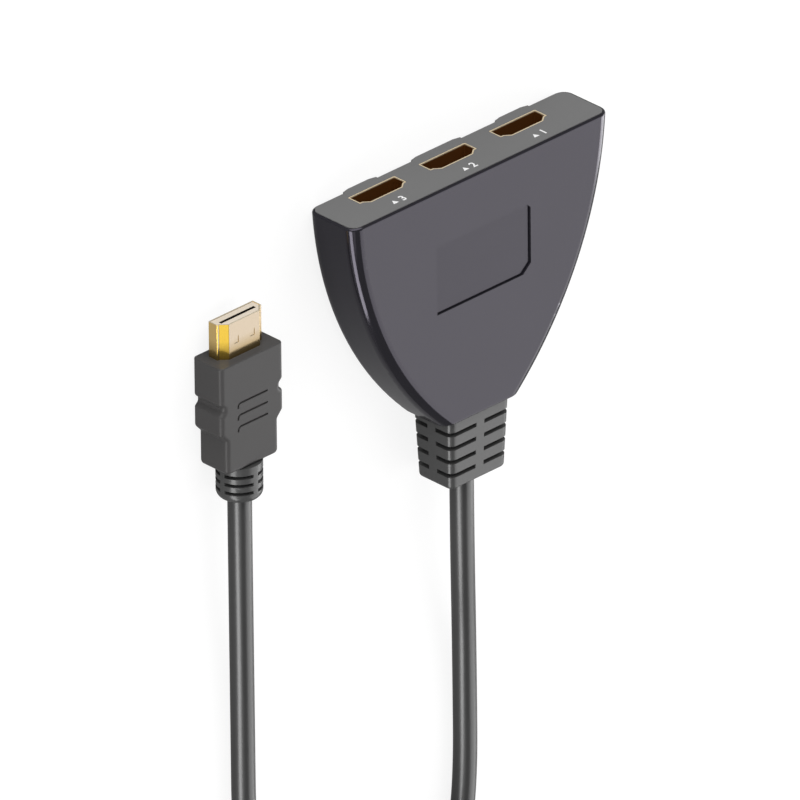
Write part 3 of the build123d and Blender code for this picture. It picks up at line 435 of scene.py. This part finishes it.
def shell_gold():
    """Plating of the plug's shell, with painted reflections: pale on the broad faces, deep on the slants
    and dark at the root.
    """
    material = plated_metal(
        "gold", low=(0.345, 0.285, 0.212), high=(0.365, 0.302, 0.225),
        roughness=0.14, depth=0.0004 * MM, metallic=0.85
    )
    tree, shader, pale = parts_of(material)
    normal_x, normal_y, normal_z = surface_normal(tree)
    sideways = math_node(tree, "MULTIPLY", normal_x, normal_x)
    upright = math_node(tree, "MULTIPLY", normal_z, normal_z)
    facing_out = math_node(tree, "MULTIPLY", normal_y, normal_y)
    both = math_node(tree, "MULTIPLY", sideways, upright)
    slanted = math_node(tree, "MULTIPLY", both, SLANT_GAIN)
    # Painted reflections: the gold's colour follows the direction of the face, and darkens towards the
    # root
    gold = mix_colors(tree, sideways, pale, GOLD_SIDE_REFLECTION)
    gold = mix_colors(tree, slanted, gold, GOLD_SLANT_REFLECTION)
    gold = mix_colors(tree, facing_out, gold, GOLD_LIP_REFLECTION)
    y = surface_point(tree)["Y"]
    near_root = spread(tree, y, ROOT_REFLECTION_SHARE, 0, ROOT_START_Y, ROOT_END_Y)
    tree.links.new(mix_colors(tree, near_root, gold, GOLD_ROOT_REFLECTION), shader.inputs["Base Color"])
    return material


def plug_filling():
    """Pale moulding in the plug's mouth, with painted deep shade inside its slot."""
    material = moulded_plastic(
        "plug_filling", low=(0.66, 0.58, 0.47), high=(0.7, 0.62, 0.51),
        roughness=0.4, grain=2500, depth=0.002 * MM
    )
    tree, shader, pale = parts_of(material)
    # Painted shade: the moulding turns near black inside the slot
    inside = spread(tree, surface_point(tree)["Y"], 1, 0, SLOT_SHADE_Y, SLOT_START_Y)
    tree.links.new(mix_colors(tree, inside, pale, SLOT_PAINTED_SHADE), shader.inputs["Base Color"])
    return material


def contact():
    """Plating of the contacts, painted dark for the shade of the ports."""
    # Painted shade: the contacts' gold is dark all over
    return plated_metal(
        "contact", low=(0.1, 0.06, 0.015), high=(0.14, 0.085, 0.025), roughness=0.4, depth=0.0005 * MM
    )


def port_gold():
    """Plating of the port shells: pale at the rim, and painted brown shade further in."""
    material = plated_metal(
        "port_metal", low=(0.95, 0.78, 0.52), high=(1.0, 0.84, 0.58),
        roughness=0.35, depth=0.0008 * MM, metallic=0.6
    )
    tree, shader, rim = parts_of(material)
    # Painted shade: the plating turns dark brown from the rim inwards
    inside = spread(tree, surface_point(tree)["Y"], 1, 0, RIM_SHADE_Y, RIM_END_Y)
    tree.links.new(mix_colors(tree, inside, rim, PORT_PAINTED_SHADE), shader.inputs["Base Color"])
    return material


def port_plastic():
    """Black blocks that hold the contacts of the ports."""
    return moulded_plastic(
        "port_plastic", low=(0.008, 0.006, 0.004), high=(0.012, 0.009, 0.006),
        roughness=0.5, grain=2500, depth=0.002 * MM, specular=0.2
    )


def board():
    """Green solder mask of the circuit board."""
    return moulded_plastic(
        "board", low=(0.012, 0.1, 0.035), high=(0.02, 0.13, 0.05),
        roughness=0.3, grain=1200, depth=0.01 * MM
    )


def chip():
    """Black packages of the chips."""
    return moulded_plastic(
        "chip", low=grey(0.012), high=grey(0.02), roughness=0.5, grain=3000, depth=0.004 * MM
    )


def resistor():
    """Chip resistors."""
    return moulded_plastic(
        "resistor", low=(0.02, 0.02, 0.025), high=(0.03, 0.03, 0.035),
        roughness=0.35, grain=3000, depth=0.002 * MM
    )


def capacitor():
    """Brown ceramic of the chip capacitors."""
    return moulded_plastic(
        "capacitor", low=(0.3, 0.19, 0.1), high=(0.4, 0.26, 0.14),
        roughness=0.4, grain=3000, depth=0.002 * MM
    )


def wire():
    """Red insulation of the cores."""
    return moulded_plastic(
        "wire", low=(0.5, 0.06, 0.04), high=(0.6, 0.1, 0.06),
        roughness=0.35, grain=2500, depth=0.002 * MM
    )


def steel():
    """Plated steel of the screws and the ferrule."""
    return plated_metal(
        "steel", low=(0.55, 0.55, 0.56), high=(0.62, 0.62, 0.63), roughness=0.3, depth=0.0008 * MM
    )


def print_ink():
    """White ink of the printed marks."""
    return moulded_plastic(
        "ink", low=grey(0.8), high=grey(0.86), roughness=0.5, grain=4000, depth=0.002 * MM
    )


def materials():
    """Material of each slot of the record."""
    return {
        "casing": casing(),
        "port_plate": port_plate(),
        "relief": relief(),
        "jacket": jacket(),
        "tie": tie(),
        "plug_mould": plug_mould(),
        "inner_mould": inner_mould(),
        "gold": shell_gold(),
        "plug_filling": plug_filling(),
        "contact": contact(),
        "port_metal": port_gold(),
        "port_plastic": port_plastic(),
        "board": board(),
        "chip": chip(),
        "resistor": resistor(),
        "capacitor": capacitor(),
        "wire": wire(),
        "steel": steel(),
    }


def numeral_mesh(number):
    """One numeral, as a thin mesh in its own plane."""
    letters = bpy.data.curves.new("numeral", "FONT")
    letters.body = str(number)
    letters.size = NUMERAL_SIZE
    letters.align_x = "CENTER"
    letters.align_y = "CENTER"
    letters.extrude = PRINT_HEIGHT
    letters.offset = STROKE_SWELL
    text = bpy.data.objects.new("numeral", letters)
    bpy.context.scene.collection.objects.link(text)
    bpy.context.view_layer.update()
    mesh = bpy.data.meshes.new_from_object(text.evaluated_get(bpy.context.evaluated_depsgraph_get()))
    bpy.data.objects.remove(text)
    return mesh


def mark_mesh(name, number):
    """Pointer and numeral side by side, flat in their own plane."""
    mark = bmesh.new()
    mark.from_mesh(numeral_mesh(number))
    bmesh.ops.translate(mark, verts=mark.verts, vec=(NUMERAL_SHIFT, 0, 0))
    bmesh.ops.create_cone(
        mark, cap_ends=True, segments=POINTER_SIDES, radius1=POINTER_RADIUS, radius2=POINTER_RADIUS,
        depth=PRINT_HEIGHT * 2, matrix=Matrix.Translation((POINTER_SHIFT, -POINTER_DROP, 0))
    )
    mesh = bpy.data.meshes.new(name)
    mark.to_mesh(mesh)
    mark.free()
    return mesh


def port_mark(number, ink):
    """Printed pointer and numeral beside an input port, upright towards the port."""
    name = f"port_mark_{number}"
    mesh = mark_mesh(name, number)
    mesh.materials.clear()
    mesh.materials.append(ink)
    piece = bpy.data.objects.new(name, mesh)
    bpy.context.scene.collection.objects.link(piece)
    low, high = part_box(f"port_shell_{number}")
    middle_x = (low[0] + high[0]) / 2
    # The print's right is +X, its top towards the ports at -Z, and it faces +Y
    piece.matrix_world = Matrix((
        (1, 0, 0, middle_x),
        (0, 0, 1, PORT_FACE_Y),
        (0, -1, 0, PRINT_CENTRE_Z),
        (0, 0, 0, 1),
    ))
    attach(piece, BODY)


def dress_nodes(looks):
    """Gives every carried-over node the material of its slot."""
    slots = {part["node"]: part["material_slot"] for part in frame["record"]["subparts"]}
    for node, piece in frame["nodes"].items():
        for place in piece.material_slots:
            place.material = looks[slots[node]]


def area_lamp(name, direction, width, height, power):
    """Soft box that faces the middle of the object from a direction."""
    data = bpy.data.lights.new(name, "AREA")
    data.shape = "RECTANGLE"
    data.size = width
    data.size_y = height
    data.energy = power
    lamp = bpy.data.objects.new(name, data)
    bpy.context.scene.collection.objects.link(lamp)
    direction = Vector(direction).normalized()
    lamp.location = direction * LAMP_DISTANCE
    lamp.rotation_mode = "QUATERNION"
    lamp.rotation_quaternion = direction.to_track_quat("Z", "Y")


def make_lights():
    """Soft studio light: five boxes, the smallest for the long left edge, and an even surround."""
    for lamp in LAMPS:
        area_lamp(*lamp)
    world = bpy.data.worlds.new("surround")
    world.use_nodes = True
    back = world.node_tree.nodes["Background"]
    back.inputs["Color"].default_value = (*WORLD_COLOR, 1)
    back.inputs["Strength"].default_value = WORLD_STRENGTH
    bpy.context.scene.world = world


def floor_material():
    """Matte grey that glows near white to the camera, and less in reflections."""
    material, tree, shader = principled("floor")
    shader.inputs["Base Color"].default_value = (*FLOOR_COLOR, 1)
    shader.inputs["Roughness"].default_value = 1
    shader.inputs["Specular IOR Level"].default_value = 0
    ray = tree.nodes.new("ShaderNodeLightPath")
    mirrored = math_node(tree, "ADD", ray.outputs["Is Glossy Ray"], ray.outputs["Is Transmission Ray"])
    seen = math_node(tree, "MULTIPLY_ADD", mirrored, FLOOR_MIRRORED, ray.outputs["Is Camera Ray"])
    lift = math_node(tree, "MULTIPLY", seen, FLOOR_LIFT)
    glow = tree.nodes.new("ShaderNodeEmission")
    tree.links.new(lift, glow.inputs["Strength"])
    both = tree.nodes.new("ShaderNodeAddShader")
    tree.links.new(shader.outputs[0], both.inputs[0])
    tree.links.new(glow.outputs[0], both.inputs[1])
    tree.links.new(both.outputs[0], tree.nodes["Material Output"].inputs["Surface"])
    return material


def make_floor():
    """Pale floor just under the object."""
    side = FLOOR_HALF_SIDE
    corners = [(-side, -side, 0), (side, -side, 0), (side, side, 0), (-side, side, 0)]
    mesh = bpy.data.meshes.new("floor")
    mesh.from_pydata(corners, [], [(0, 1, 2, 3)])
    mesh.materials.append(floor_material())
    floor = bpy.data.objects.new("floor", mesh)
    floor.location.z = FLOOR_Z
    bpy.context.scene.collection.objects.link(floor)


def make_cable(material):
    """The free cable as a cord that stands for the three cable nodes of the frame."""
    cable = cable_tube()
    cable.data.materials.append(material)
    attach(cable, BODY)
    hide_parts("cable_lead", "cable_coil", "cable_tail")
    stood_for = ("cable_lead", "cable_coil", "cable_tail")
    on_cable = [frame["nodes"][name] for name in frame["record"]["physics"]["cord_nodes"]]
    on_cable = [piece for piece in on_cable if piece.name not in stood_for]


def main():
    """Builds the scene around the frame."""
    make_camera()
    make_floor()
    make_lights()
    looks = materials()
    dress_nodes(looks)
    ink = print_ink()
    for number in PORT_NUMBERS:
        port_mark(number, ink)
    make_cable(looks["jacket"])
    scene = bpy.context.scene
    scene.view_settings.view_transform = "Standard"


main()
